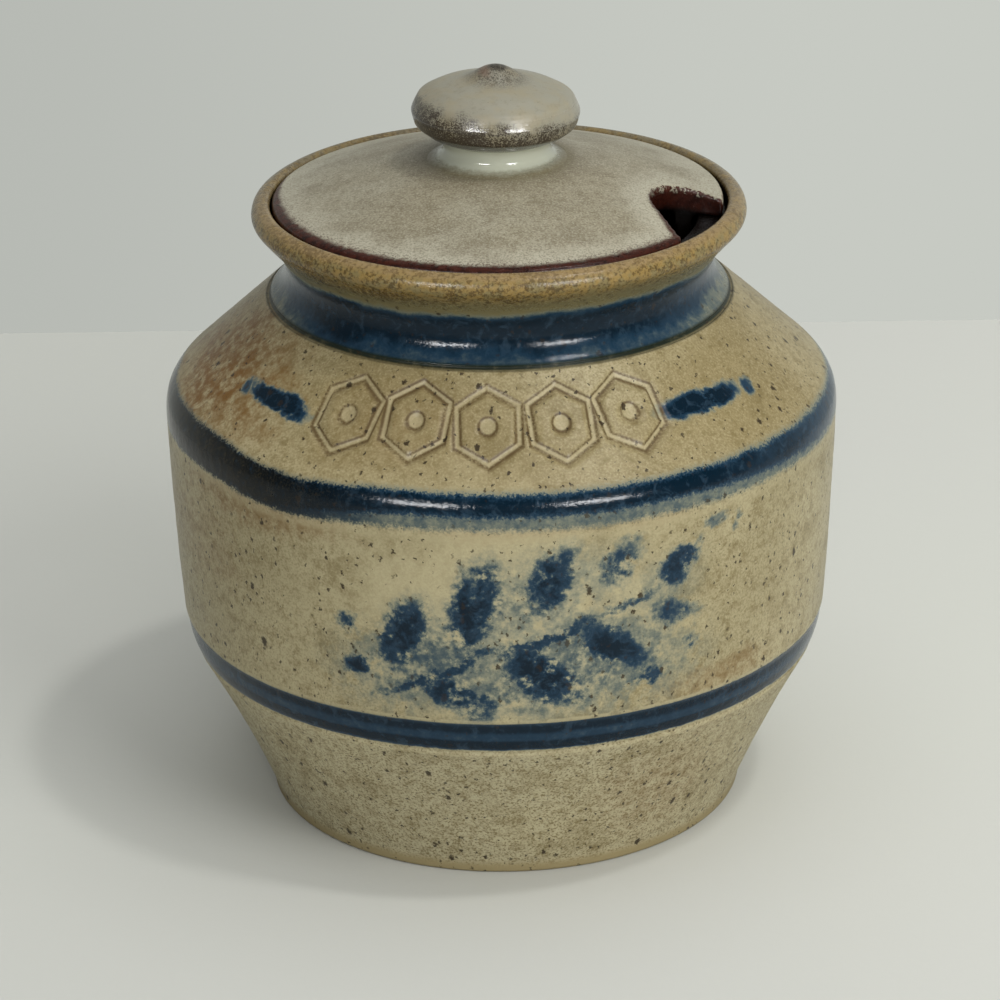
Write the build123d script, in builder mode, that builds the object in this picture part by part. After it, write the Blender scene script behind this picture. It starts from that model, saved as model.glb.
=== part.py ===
"""Stoneware honey pot with a loose lid.

The pot is thrown in one piece: a turned foot, a flared lower wall, a full belly, a shoulder
that slopes in to a waisted neck, and a flared rim. Inside the rim a ledge, the gallery, is
set down into the clay. The lid drops into the gallery, and the flange under it keeps it
centred in the throat. A notch cut through the lid's edge and flange lets a spoon stand in
the closed pot. The knob is thrown on its own and luted to the middle of the lid.

Millimetres, +Z up. The pot stands on z = 0 and is centred on the Z axis. The spoon notch
is on the +X side, turned a little towards -Y.
"""

import os
from math import acos, ceil, cos, degrees, hypot, radians, sin, sqrt

from build123d import *

# ---- Pot, outside ----
foot_radius = 39.5  # the edge that the pot stands on
foot_flare = 0.2  # how much wider the foot is at the top of its upright edge
foot_height = 2.0  # upright edge of the foot
taper_height = 25.9  # lower wall, from the foot up to the lower band
taper_radius = 52.0  # top of the lower wall
taper_hollow = 0.5  # how far the lower wall curves in from a straight cone
band_height = 5.9  # lower band, from its turned line up to the belly
band_radius = 53.3  # top of the lower band
band_bulge = 0.3  # how far the band bows out
ridge_step = 0.3  # the belly stands proud of the band by this much
belly_height = 35.0  # from the lower band up to the widest place
belly_radius = 55.0  # the widest place
belly_bulge = 0.15  # how far the belly bows out between the band and the widest place
shoulder_height = 18.2  # from the widest place up to the neck's ring
shoulder_round = 5.4  # radius of the turn from the belly onto the shoulder
shoulder_bulge = 0.1  # how far the slope of the shoulder bows out
neck_ring_radius = 37.5  # the turned ring at the foot of the neck
neck_waist = 2.8  # how far in from the ring the neck's waist is, where it is narrowest
neck_waist_height = 4.6  # the waist, above the ring
flare_sweep = 1.4  # how far the neck's curve carries the wall out, above the waist
flare_sweep_height = 3.9  # height of that curve; above it the flare is straight
rim_height = 15.6  # top of the rim, above the ring
rim_overhang = 5.25  # how far the widest place of the rim stands out from the waist
rim_roll = 2.2  # how far below the top of the rim its widest place is
rim_tuck = 0.6  # from the widest place in to the end of the straight flare
rim_tuck_height = 1.3  # height of that turn
rim_crest = 0.9  # from the gallery's wall out to the crest of the rim
rim_ease = 0.8  # how far the inner edge of the rim is rounded down

# ---- Turned lines, cut with a pointed tool on the wheel ----
line_width = 1.1  # across the pointed tool that cuts a line
line_depth = 0.4  # how deep a line is cut

# ---- Pot, inside ----
wall = 5.0  # belly, shoulder and lower wall
floor_thickness = 6.5
neck_wall = 3.7  # at the waist
foot_ring_width = 6.0  # the ring that the pot stands on
foot_recess = 1.5  # how far the base is turned out inside that ring
rim_width = 3.05  # clay between the gallery, which the lid drops into, and the rim's widest place
gallery_depth = 3.2  # the ledge, below the top of the rim
ledge_width = 4.9  # from the gallery's wall in to the throat
throat_depth = 5.4  # straight part of the throat, below the ledge
floor_round = 8.0  # from the floor up into the lower wall
flank_round = 20.0  # from the lower wall up into the belly
inner_shoulder_round = 12.0  # under the shoulder
inner_neck_round = 3.0  # from the shoulder up into the neck
inner_waist_round = 2.0  # above the waist
throat_round = 1.0  # up into the throat

# ---- Lid ----
lid_clearance = 0.5  # all round, between the lid's edge and the gallery
lid_edge = 3.1  # thickness of the edge
lid_round = 1.2  # radius of the edge's upper corner
lid_seat_ease = 0.7  # lower corner of the edge, eased to clear the ledge's corner
dome_rise = 6.6  # from the edge up to the seat of the knob
dome_bulge = 0.5  # how far the dome bows up from a straight cone
lid_wall = 4.0  # thickness of the dome
flange_clearance = 0.6  # between the flange and the throat
flange_thickness = 2.9
flange_depth = 4.4  # below the ledge
flange_draft = 0.4  # how much the flange thins on each side, down to its lower edge

# ---- Spoon notch ----
notch_angle = -22.4  # where it is, from +X towards +Y, in degrees
notch_depth = 10.7  # from the lid's edge in to its deepest place
notch_radius = 7.3  # its round side
notch_shift = 2.7  # how far the round side is off the middle of the notch
notch_slant = 45.0  # the straight cut on its other side, in degrees from the radius
notch_ease = 0.5  # the notch's upper edge, softened with a wet sponge

# ---- Knob ----
knob_foot_radius = 10.6  # where it is luted to the lid
knob_neck_radius = 8.5
knob_neck_flare = 2.2  # height over which the foot sweeps in to the neck
knob_radius = 13.5
knob_rise = 7.8  # from the lid up to the knob's widest place
knob_crown = 5.5  # from the widest place up to the top
knob_underside = 5.9  # from the widest place down, if the knob had no neck
pip_radius = 3.6  # the twist of clay that is left on top
pip_height = 2.1
pip_tip_radius = 0.9
pip_tip_height = 0.45

# ---- Softened edges ----
ledge_ease = 0.4  # inside corner at the foot of the gallery
edge_ease = 0.4  # edges of the foot and of the flange
flat_depth = 0.12  # a round is turned as flats that lie about this far inside it

# ---- Heights, from the ground up ----
taper_top = foot_height + taper_height
band_top = taper_top + band_height
widest = band_top + belly_height
ring_level = widest + shoulder_height
waist_level = ring_level + neck_waist_height
rim_top = ring_level + rim_height
rim_widest = rim_top - rim_roll
ledge = rim_top - gallery_depth
throat_foot = ledge - throat_depth
flange_foot = ledge - flange_depth
lid_edge_top = ledge + lid_edge
knob_seat = lid_edge_top + dome_rise
knob_level = knob_seat + knob_rise
pip_top = knob_level + knob_crown + pip_height

# ---- Radii that follow ----
neck_radius = neck_ring_radius - neck_waist
rim_radius = neck_radius + rim_overhang
gallery_radius = rim_radius - rim_width
throat_radius = gallery_radius - ledge_width
foot_ring_inner = foot_radius - foot_ring_width
foot_top_radius = foot_radius + foot_flare
belly_foot_radius = band_radius + ridge_step
crest_radius = gallery_radius + rim_crest
inner_foot_radius = foot_radius - wall / 2
inner_band_radius = band_radius - wall
inner_belly_radius = belly_radius - wall
inner_neck_radius = neck_radius - neck_wall
lid_radius = gallery_radius - lid_clearance
flange_radius = throat_radius - flange_clearance
flange_inner = flange_radius - flange_thickness


def shoulder_start():
    """Where the shoulder's slope leaves the turn that comes up from the belly.

    The turn is an arc that starts upright at the widest place and ends along the slope.
    """
    slope = Vector(neck_ring_radius - belly_radius, shoulder_height).normalized()
    return Vector(belly_radius - shoulder_round * (1 - slope.Y), widest - shoulder_round * slope.X)


def under_shoulder(radius):
    """Height of the clay's inner face under the shoulder, one wall in from the slope."""
    start = shoulder_start()
    steepness = (ring_level - start.Y) / (start.X - neck_ring_radius)
    return ring_level - (radius - neck_ring_radius) * steepness - wall * hypot(1, steepness)


def under_dome(radius):
    """Height of the lid's inner face, one wall below the dome."""
    steepness = dome_rise / (lid_radius - lid_round - knob_foot_radius)
    return knob_seat - (radius - knob_foot_radius) * steepness - lid_wall


def on_knob(radius, half_height):
    """Height above the knob's widest place, on an ellipse that is half_height tall there."""
    return half_height * sqrt(1 - (radius / knob_radius) ** 2)


def knob_angle(radius):
    """The same ellipse's own angle at a radius, in degrees from the widest place."""
    return degrees(acos(radius / knob_radius))


def turned(outline):
    """Draws an outline with its rounds as short flats, which revolve into plain cones."""
    for edge in outline.edges():
        bow = (edge @ 0.5 - (edge @ 0 + edge @ 1) / 2).length
        flats = max(1, ceil(sqrt(bow / flat_depth)))
        Polyline(*(edge @ (step / flats) for step in range(flats + 1)))


# ---- Pot ----
foot_top = Vector(foot_top_radius, foot_height)
taper_end = Vector(taper_radius, taper_top)
band_end = Vector(band_radius, band_top)
belly_start = Vector(belly_foot_radius, band_top)
belly_end = Vector(belly_radius, widest)
slope_start = shoulder_start()
ring = Vector(neck_ring_radius, ring_level)
waist = Vector(neck_radius, waist_level)
flare_start = waist + Vector(flare_sweep, flare_sweep_height)
rim_edge = Vector(rim_radius, rim_widest)
flare_end = rim_edge - Vector(rim_tuck, rim_tuck_height)
rim_crown = Vector(crest_radius, rim_top)
gallery_lip = Vector(gallery_radius, rim_top - rim_ease)

with BuildLine() as pot_outside:
    FilletPolyline((0, foot_recess), (foot_ring_inner, foot_recess), (foot_ring_inner, 0),
                   (foot_radius, 0), foot_top, radius=edge_ease)
    # A positive sagitta hollows a wall that is drawn upwards, a negative one bows it out.
    SagittaArc(foot_top, taper_end, taper_hollow)
    SagittaArc(taper_end, band_end, -band_bulge)
    Line(band_end, belly_start)
    SagittaArc(belly_start, belly_end, -belly_bulge)
    TangentArc(belly_end, slope_start, tangent=(0, 1))
    SagittaArc(slope_start, ring, -shoulder_bulge)
    TangentArc(waist, ring, tangent=(0, -1))
    TangentArc(waist, flare_start, tangent=(0, 1))
    Line(flare_start, flare_end)
    TangentArc(rim_edge, flare_end, tangent=(0, -1))
    TangentArc(rim_edge, rim_crown, tangent=(0, 1))
    TangentArc(rim_crown, gallery_lip, tangent=(-1, 0))
    FilletPolyline(gallery_lip, (gallery_radius, ledge), (0, ledge), radius=ledge_ease)
    Line((0, ledge), (0, foot_recess))

with BuildLine() as pot_inside:
    FilletPolyline(
        (0, floor_thickness),
        (inner_foot_radius, floor_thickness),
        (inner_band_radius, band_top),
        (inner_belly_radius, under_shoulder(inner_belly_radius)),
        (inner_neck_radius, under_shoulder(inner_neck_radius)),
        (inner_neck_radius, waist_level),
        (throat_radius, throat_foot),
        (throat_radius, ledge),
        radius=(floor_round, flank_round, inner_shoulder_round, inner_neck_round,
                inner_waist_round, throat_round),
    )
    Polyline((throat_radius, ledge), (0, ledge), (0, floor_thickness))

with BuildPart() as pot:
    with BuildSketch(Plane.XZ):
        with BuildLine():
            turned(pot_outside)
        make_face()
    revolve(axis=Axis.Z)

    # The chamber for the honey, and the throat above it.
    with BuildSketch(Plane.XZ):
        with BuildLine():
            turned(pot_inside)
        make_face()
    revolve(axis=Axis.Z, mode=Mode.SUBTRACT)

    # Turned lines: one round the foot of the neck, one at the top of the lower wall.
    line_out = Vector(line_width / 2 - line_depth, 0)
    with BuildSketch(Plane.XZ):
        with Locations(ring + line_out, taper_end + line_out):
            Rectangle(line_width / sqrt(2), line_width / sqrt(2), rotation=45)
    revolve(axis=Axis.Z, mode=Mode.SUBTRACT)

pot.part.label = "pot"

# ---- Lid ----
edge_shoulder = Vector(lid_radius, lid_edge_top - lid_round)
dome_foot = Vector(lid_radius - lid_round, lid_edge_top)
dome_top = Vector(knob_foot_radius, knob_seat)

notch_plane = Plane.XY.offset(flange_foot).rotated((0, 0, notch_angle))
notch_centre = Vector(lid_radius - notch_depth + notch_radius, notch_shift)
slant = Vector(cos(radians(notch_slant)), -sin(radians(notch_slant)))
cut_start = notch_centre + Vector(slant.Y, -slant.X) * notch_radius
cut_end = cut_start + slant * lid_radius

with BuildLine() as lid_outline:
    Line((0, knob_seat), dome_top)
    SagittaArc(dome_top, dome_foot, dome_bulge)
    TangentArc(edge_shoulder, dome_foot, tangent=(0, 1))
    Polyline(edge_shoulder, (lid_radius, ledge + lid_seat_ease), (lid_radius - lid_seat_ease, ledge),
             (flange_radius, ledge), (flange_radius - flange_draft, flange_foot),
             (flange_inner + flange_draft, flange_foot), (flange_inner, under_dome(flange_inner)),
             (knob_foot_radius, knob_seat - lid_wall), (0, knob_seat - lid_wall), (0, knob_seat))

with BuildPart() as lid:
    with BuildSketch(Plane.XZ) as section:
        with BuildLine():
            turned(lid_outline)
        make_face()
        chamfer(section.vertices().group_by(Axis.Y)[0], edge_ease)
    revolve(axis=Axis.Z)

    # The spoon notch: round on one side, a straight slanting cut on the other.
    with BuildSketch(notch_plane):
        with Locations(notch_centre):
            Circle(notch_radius)
        with BuildLine():
            Polyline(notch_centre, cut_start, cut_end, (cut_end.X, notch_centre.Y), close=True)
        make_face()
    extrude(amount=knob_seat - flange_foot, mode=Mode.SUBTRACT)
    notch_rim = lid.edges(Select.LAST).filter_by(lambda edge: edge.center().Z > lid_edge_top)
    chamfer(notch_rim, notch_ease)

lid.part.label = "lid"

# ---- Knob ----
under_knob = knob_level - on_knob(knob_neck_radius, knob_underside)
neck_angle = knob_angle(knob_neck_radius)
pip_angle = knob_angle(pip_radius)
knob_middle = Vector(0, knob_level)
knob_foot = Vector(knob_foot_radius, knob_seat)
knob_waist = Vector(knob_neck_radius, knob_seat + knob_neck_flare)
pip_foot = Vector(pip_radius, knob_level + on_knob(pip_radius, knob_crown))
pip_tip = Vector(pip_tip_radius, pip_top - pip_tip_height)

with BuildLine() as knob_outline:
    Line((0, knob_seat), knob_foot)
    TangentArc(knob_waist, knob_foot, tangent=(0, -1))
    Line(knob_waist, (knob_neck_radius, under_knob))
    EllipticalCenterArc(knob_middle, knob_radius, knob_underside, -neck_angle, arc_size=neck_angle)
    EllipticalCenterArc(knob_middle, knob_radius, knob_crown, arc_size=pip_angle)
    Spline(pip_foot, pip_tip, (0, pip_top), tangents=((-1, 0.3), (-1, 0)))
    Line((0, pip_top), (0, knob_seat))

with BuildPart() as lid_knob:
    with BuildSketch(Plane.XZ):
        with BuildLine():
            turned(knob_outline)
        make_face()
    revolve(axis=Axis.Z)

lid_knob.part.label = "lid_knob"

os.makedirs("parts", exist_ok=True)
export_step(pot.part, "parts/pot.step")
export_step(lid.part, "parts/lid.step")
export_step(lid_knob.part, "parts/lid_knob.step")
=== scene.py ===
"""Dresses the packed honey pot: turned forms, stamped cells, salt glaze and brushed cobalt.

The pot, the lid and the knob are turned again from the frame's own outlines, fine enough to
carry wheel marks and stamps, and each one stands for its CAD node. Outlines and node trees
work in millimetres. The settings and everything else are in metres.
"""

import functools
import math

import bmesh
import bpy
import numpy as np
from mathutils import Matrix, Vector


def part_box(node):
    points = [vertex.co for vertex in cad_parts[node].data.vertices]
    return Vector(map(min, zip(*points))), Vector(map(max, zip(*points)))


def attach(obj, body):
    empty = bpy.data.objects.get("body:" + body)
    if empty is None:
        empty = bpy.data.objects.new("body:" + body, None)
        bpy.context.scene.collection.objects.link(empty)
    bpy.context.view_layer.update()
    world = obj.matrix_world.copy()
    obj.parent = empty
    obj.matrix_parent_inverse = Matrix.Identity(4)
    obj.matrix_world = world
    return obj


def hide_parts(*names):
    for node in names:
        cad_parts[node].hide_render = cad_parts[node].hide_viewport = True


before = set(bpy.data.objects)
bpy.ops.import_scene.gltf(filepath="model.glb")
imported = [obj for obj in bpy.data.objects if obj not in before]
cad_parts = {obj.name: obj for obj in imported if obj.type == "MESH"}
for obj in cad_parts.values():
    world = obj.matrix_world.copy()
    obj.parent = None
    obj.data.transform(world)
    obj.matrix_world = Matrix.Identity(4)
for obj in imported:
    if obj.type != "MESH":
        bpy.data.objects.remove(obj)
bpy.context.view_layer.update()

bl_info = {
    "name": "Stoneware Honey Pot",
    "version": (1, 0, 0),
    "blender": (4, 5, 0),
    "location": "3D View > Sidebar > Honey Pot",
    "description": "Turns and glazes a stoneware honey pot with a loose lid, on a pale table",
    "category": "Add Mesh",
}

MM = 0.001


# ---- Node trees ----


def operator(operation, swapped=False):
    """A method of Field that adds the maths node for one of Python's operators."""
    return lambda *values: maths(operation, *(reversed(values) if swapped else values))


class Field:
    """A value that flows through a node tree. Sums and products of fields add the nodes."""

    def __init__(self, socket):
        self.socket = socket
        self.tree = socket.id_data

    __add__ = operator("ADD")
    __sub__ = operator("SUBTRACT")
    __rsub__ = operator("SUBTRACT", swapped=True)
    __mul__ = operator("MULTIPLY")
    __truediv__ = operator("DIVIDE")
    __abs__ = operator("ABSOLUTE")

    def __neg__(self):
        return self * -1.0


def feed(socket, value):
    """Links a field or another socket to a socket, or sets the socket to a plain value."""
    if isinstance(value, Field):
        value = value.socket
    if isinstance(value, bpy.types.NodeSocket):
        socket.id_data.links.new(value, socket)
    elif socket.type == "RGBA" and len(value) == 3:
        socket.default_value = (*value, 1.0)
    else:
        socket.default_value = value


def put(tree, kind, inputs=None, **settings):
    """Adds a node of a kind, with its settings and inputs."""
    node = tree.nodes.new(kind)
    for name, value in settings.items():
        setattr(node, name, value)
    for key, value in (inputs or {}).items():
        feed(node.inputs[key], value)
    return node


def made(tree, kind, inputs=None, out=0, **settings):
    """Adds a node of a kind, and returns what flows out of it."""
    return Field(put(tree, kind, inputs, **settings).outputs[out])


def tree_of(values):
    """The node tree that some fields and plain values belong to."""
    return next(value.tree for value in values if isinstance(value, Field))


def maths(operation, *values):
    return made(tree_of(values), "ShaderNodeMath", dict(enumerate(values)), operation=operation)


def largest(values):
    """The largest of some fields. Takes them one by one, so that few wait at a time."""
    return functools.reduce(lambda first, second: maths("MAXIMUM", first, second), values)


def hypotenuse(x, y):
    return maths("SQRT", x * x + y * y)


def vector_maths(operation, *values):
    out = "Value" if operation == "LENGTH" else "Vector"
    inputs = dict(enumerate(values))
    return made(tree_of(values), "ShaderNodeVectorMath", inputs, out, operation=operation)


def scaled(vector, scale):
    inputs = {0: vector, "Scale": scale}
    return made(vector.tree, "ShaderNodeVectorMath", inputs, operation="SCALE")


def join(x, y, z=0.0):
    return made(tree_of((x, y, z)), "ShaderNodeCombineXYZ", {0: x, 1: y, 2: z})


def split(vector):
    return tuple(map(Field, put(vector.tree, "ShaderNodeSeparateXYZ", {0: vector}).outputs))


def channels(colour):
    """The red, green and blue of a colour, as three numbers."""
    family = "Function" if colour.tree.bl_idname == "GeometryNodeTree" else "Shader"
    node = put(colour.tree, family + "NodeSeparateColor", {0: colour})
    return tuple(map(Field, list(node.outputs)[:3]))


def fade(value, low, high, start=0.0, end=1.0):
    """Goes smoothly from start to end while a value goes from low to high."""
    inputs = dict(enumerate((value, low, high, start, end)))
    return made(value.tree, "ShaderNodeMapRange", inputs, interpolation_type="SMOOTHSTEP")


def between(value, low, high, edge):
    """One between low and high, and nought outside them, with soft edges."""
    return fade(value, low - edge, low + edge) * fade(value, high - edge, high + edge, 1, 0)


def lerp(amount, first, second):
    return made(amount.tree, "ShaderNodeMix", {0: amount, 2: first, 3: second}, data_type="FLOAT")


def tint(amount, first, second):
    """Lays a second colour over a first by an amount."""
    inputs = {0: amount, 6: first, 7: second}
    return made(amount.tree, "ShaderNodeMix", inputs, 2, data_type="RGBA")


def noise(place, scale, detail=2.0, roughness=0.5, distortion=0.0, out=0):
    """Smooth random clouds, mostly from a quarter to three quarters."""
    inputs = {
        "Vector": place, "Scale": scale, "Detail": detail, "Roughness": roughness,
        "Distortion": distortion,
    }
    return made(place.tree, "ShaderNodeTexNoise", inputs, out)


def drift(place, scale, detail, roughness, reach):
    """A random offset that changes smoothly from place to place, up to about half of reach."""
    colour = noise(place, scale, detail, roughness, out="Color")
    return scaled(vector_maths("SUBTRACT", join(*channels(colour)), (0.5, 0.5, 0.5)), reach)


def cells(place, scale, out="Distance"):
    return made(place.tree, "ShaderNodeTexVoronoi", {"Vector": place, "Scale": scale}, out)


def specks(place, scale, share, size, shape=(1, 1, 1)):
    """Scattered round specks: a share of the cells holds one, each of its own size."""
    stretched = vector_maths("MULTIPLY", place, shape)
    distance = cells(stretched, scale)
    lot, girth, _ = channels(cells(stretched, scale, "Color"))
    radius = maths("GREATER_THAN", lot, 1 - share) * (girth * 0.65 + 0.35) * size
    return fade(distance / (radius + 0.0001), 0.7, 1.15, 1, 0)


# ---- Turned forms ----


ON_SEAM = 1e-7  # metres
STRAIGHT = 0.002  # the sine of the least bend that counts
DEGREES_PER_STEP = 14
TOO_CLOSE = 0.25  # as a part of the spacing


def seam_outline(node):
    """The outline of a turned CAD node, as (radius, height) points from underneath to on top.

    The node's mesh has its seam in the half plane where y is nought and x is positive.
    """
    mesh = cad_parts[node].data
    spots = [(round(v.co.x / MM, 3), round(v.co.z / MM, 3)) for v in mesh.vertices]
    seam = {v.index for v in mesh.vertices if abs(v.co.y) < ON_SEAM and v.co.x > -ON_SEAM}
    neighbours = {}
    for edge in mesh.edges:
        a, b = edge.vertices
        if a in seam and b in seam and spots[a] != spots[b]:
            neighbours.setdefault(spots[a], set()).add(spots[b])
            neighbours.setdefault(spots[b], set()).add(spots[a])
    ends = [spot for spot in neighbours if len(neighbours[spot]) == 1]
    ends.sort(key=lambda spot: spot[1])
    if len(ends) != 2:
        raise RuntimeError(f"the outline of {node} isn't one line")
    chain = [ends[0]]
    while chain[-1] != ends[1]:
        ahead = [spot for spot in neighbours[chain[-1]] if spot not in chain[-2:]]
        chain.append(ahead[0])
    axis = [(0.0, spot[1]) for spot in (chain[0], chain[-1])]
    if chain[0][0] > 0:
        chain.insert(0, axis[0])
    if chain[-1][0] > 0:
        chain.append(axis[1])
    return np.array(chain)


def without_straight_points(points):
    """Drops the points of an outline that lie in the middle of a straight run."""
    kept = [points[0]]
    for here, ahead in zip(points[1:-1], points[2:]):
        first, second = here - kept[-1], ahead - here
        bend = first[0] * second[1] - first[1] * second[0]
        if abs(bend) > STRAIGHT * np.linalg.norm(first) * np.linalg.norm(second):
            kept.append(here)
    return np.array([*kept, points[-1]])


def softened(points, depth, spacing):
    """Rounds an outline's corners by a depth, and divides its long runs.

    Short flats turn back into the curve they stand for, and real corners are eased like glaze.
    """
    points = without_straight_points(points)
    curve = [points[0]]
    for before, here, ahead in zip(points[:-2], points[1:-1], points[2:]):
        first, second = here - before, ahead - here
        long_first, long_second = np.linalg.norm(first), np.linalg.norm(second)
        cosine = np.dot(first, second) / (long_first * long_second)
        half_turn = math.acos(max(-1.0, min(1.0, cosine))) / 2
        reach = min(long_first / 2, long_second / 2, 2 * depth / math.sin(half_turn))
        start = here - first / long_first * reach
        end = here + second / long_second * reach
        by_turn = math.ceil(math.degrees(half_turn) * 2 / DEGREES_PER_STEP)
        steps = max(2, by_turn, math.ceil(2 * reach / spacing(here)))
        for step in range(steps + 1):
            t = step / steps
            curve.append((1 - t) ** 2 * start + 2 * t * (1 - t) * here + t ** 2 * end)
    curve.append(points[-1])
    result = [curve[0]]
    for here in curve[1:]:
        gap = np.linalg.norm(here - result[-1])
        if gap < spacing(here) * TOO_CLOSE:
            continue
        steps = math.ceil(gap / spacing((here + result[-1]) / 2))
        last = result[-1]
        result.extend(last + (here - last) * step / steps for step in range(1, steps + 1))
    result[0][0] = result[-1][0] = 0.0
    return np.array(result)


def along(points):
    """How far each point of an outline is along it."""
    return np.concatenate([[0], np.cumsum(np.linalg.norm(np.diff(points, axis=0), axis=1))])


def linked(name, data):
    """A new object that shows some data, in the scene."""
    thing = bpy.data.objects.new(name, data)
    bpy.context.scene.collection.objects.link(thing)
    return thing


def outline_object(name, points):
    """A line of vertices in the XZ plane, each with its distance along the line in millimetres."""
    mesh = bpy.data.meshes.new(name)
    places = [(radius * MM, 0, height * MM) for radius, height in points]
    mesh.from_pydata(places, [(number, number + 1) for number in range(len(points) - 1)], [])
    path = along(points).astype(np.float32)
    mesh.attributes.new("path", "FLOAT", "POINT").data.foreach_set("value", path)
    return linked(name, mesh)


STAMP_SEED = 7.3


def stamp_row(place, sizes):
    """The row of stamped cells round the shoulder, as how deep the clay is pressed, from 0 to 1.

    place is a point on the pot in millimetres. Returns the depth, and how near a point is to the
    foot of a stamped wall, where the glaze pools.
    """
    x, y, z = split(place)
    pitch = sizes.stamp_pitch
    from_first = maths("ARCTAN2", x, -y) - sizes.stamp_middle
    number = maths("ROUND", from_first / pitch)
    inside_row = fade(abs(number), 2.4, 2.6, 1, 0) * between(z, 72.5, 87, 0.3)
    inputs = {"W": number + STAMP_SEED}
    luck = made(place.tree, "ShaderNodeTexWhiteNoise", inputs, "Color", noise_dimensions="1D")
    tilt, lift, press = channels(luck)
    slope = math.sin(math.radians(43.3))
    across = (from_first - number * pitch) * hypotenuse(x, y)
    upward = (z - sizes.stamp_level / MM) / slope + (lift - 0.5) * 0.9
    lean = (tilt - 0.5) * 0.13
    squash = 0.86
    level = across + upward * lean
    height = (upward - across * lean) * squash
    hexagon = maths("MAXIMUM", abs(level), abs(level) * 0.5 + abs(height) * 0.8660254)
    half_line, dot_radius = 0.62, 1.5
    from_wall = abs(hexagon - sizes.stamp_width / MM / 2)
    groove = maths("MINIMUM", from_wall - half_line, hypotenuse(level, height) - dot_radius)
    depth = fade(groove, -0.42, 0.34, 1, 0) * inside_row * (press * 0.35 + 0.75)
    pool = between(groove, -0.32, 0.16, 0.2) * inside_row
    return depth, pool


TURNED_FORM_INPUTS = {
    "Outline": "Geometry", "Columns": "Int", "Crowding to the Front": "Float",
    "Wheel Marks": "Float", "Out of Round": "Float", "Stamp Depth": "Float", "Seed": "Float",
    "Glaze": "Material",
}


def turned_form_tree(sizes):
    """The Geometry Nodes tree that turns an outline round the Z axis as a closed skin."""
    tree = bpy.data.node_groups.new("Turned Form", "GeometryNodeTree")
    tree.is_modifier = True
    panel = tree.interface
    panel.new_socket("Geometry", in_out="OUTPUT", socket_type="NodeSocketGeometry")
    for name, kind in TURNED_FORM_INPUTS.items():
        panel.new_socket(name, in_out="INPUT", socket_type="NodeSocket" + kind)

    given = {socket.name: Field(socket) for socket in put(tree, "NodeGroupInput").outputs}
    outline, columns = given["Outline"], given["Columns"]
    rows = made(tree, "GeometryNodeAttributeDomainSize", {0: outline}, "Point Count")
    skin = put(tree, "GeometryNodeMeshGrid", {"Vertices X": columns + 1, "Vertices Y": rows})
    column = maths("FLOOR", (made(tree, "GeometryNodeInputIndex") + 0.5) / rows)
    row = made(tree, "GeometryNodeInputIndex") - column * rows
    even = (column / columns * 2 - 1) * math.pi
    turn = even - maths("SINE", even) * given["Crowding to the Front"]

    def from_outline(kind, value):
        inputs = {0: outline, "Value": value, "Index": row}
        return made(tree, "GeometryNodeSampleIndex", inputs, data_type=kind, domain="POINT")

    def then(step, inputs, **settings):
        """Passes the skin on through one more node."""
        return put(tree, "GeometryNode" + step, {0: skin.outputs[0], **inputs}, **settings)

    position = made(tree, "GeometryNodeInputPosition")
    stored = made(tree, "GeometryNodeInputNamedAttribute", {"Name": "path"}, data_type="FLOAT")
    radius, _, height = split(from_outline("FLOAT_VECTOR", position))
    path = from_outline("FLOAT", stored)
    round_place = join(maths("SINE", turn) * radius, -(maths("COSINE", turn) * radius), height)
    skin = then("SetPosition", {"Position": round_place})
    skin = then(
        "StoreNamedAttribute", {"Name": "path", "Value": path}, data_type="FLOAT", domain="POINT"
    )
    skin = then("MergeByDistance", {"Distance": 1e-6})

    place = scaled(position, 1 / MM)
    x, y, z = split(place)
    seed, spiral = given["Seed"], x * 0.02
    rings = noise(join(stored + spiral, seed, spiral), 0.42, 2.0, 0.55) - 0.5
    wobble = noise(vector_maths("ADD", place, join(seed, 0.0)), 0.022, 1.0) - 0.5
    settle = fade(z, 1.0, 12.0)
    push = rings * given["Wheel Marks"] - stamp_row(place, sizes)[0] * given["Stamp Depth"]
    moved = vector_maths(
        "ADD", scaled(made(tree, "GeometryNodeInputNormal"), push * settle),
        scaled(vector_maths("NORMALIZE", join(x, y)), wobble * given["Out of Round"] * settle),
    )
    skin = then("SetPosition", {"Offset": moved})
    skin = then("SetShadeSmooth", {"Shade Smooth": True})
    skin = then("RealizeInstances", {})
    skin = then("SetMaterial", {"Material": given["Glaze"]})
    put(tree, "NodeGroupOutput", {0: skin.outputs[0]})
    return tree


def frozen(thing, name):
    """The evaluated mesh of an object as a plain object of its own. The first object is removed."""
    bpy.context.view_layer.update()
    graph = bpy.context.evaluated_depsgraph_get()
    mesh = bpy.data.meshes.new_from_object(thing.evaluated_get(graph))
    bpy.data.objects.remove(thing)
    mesh.name = name
    return linked(name, mesh)


def turned(name, points, glaze, sizes, **settings):
    """Turns an outline with the Turned Form tree, and freezes it."""
    thing = outline_object(name + "_outline", points)
    tree = bpy.data.node_groups.get("Turned Form") or turned_form_tree(sizes)
    modifier = thing.modifiers.new("Turned Form", "NODES")
    modifier.node_group = tree
    settings["Glaze"] = glaze
    for item in tree.interface.items_tree:
        if item.name in settings:
            modifier[item.identifier] = settings[item.name]
    return frozen(thing, name)


# ---- Glazes ----


def new_material(name):
    """A new node material, its Principled shader, and a point on the piece in millimetres."""
    material = bpy.data.materials.new(name)
    material.use_nodes = True
    tree = material.node_tree
    tree.nodes.clear()
    shader = put(tree, "ShaderNodeBsdfPrincipled")
    put(tree, "ShaderNodeOutputMaterial", {"Surface": shader.outputs[0]}, is_active_output=True)
    return material, shader, scaled(made(tree, "ShaderNodeTexCoord", out="Object"), 1 / MM)


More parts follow.
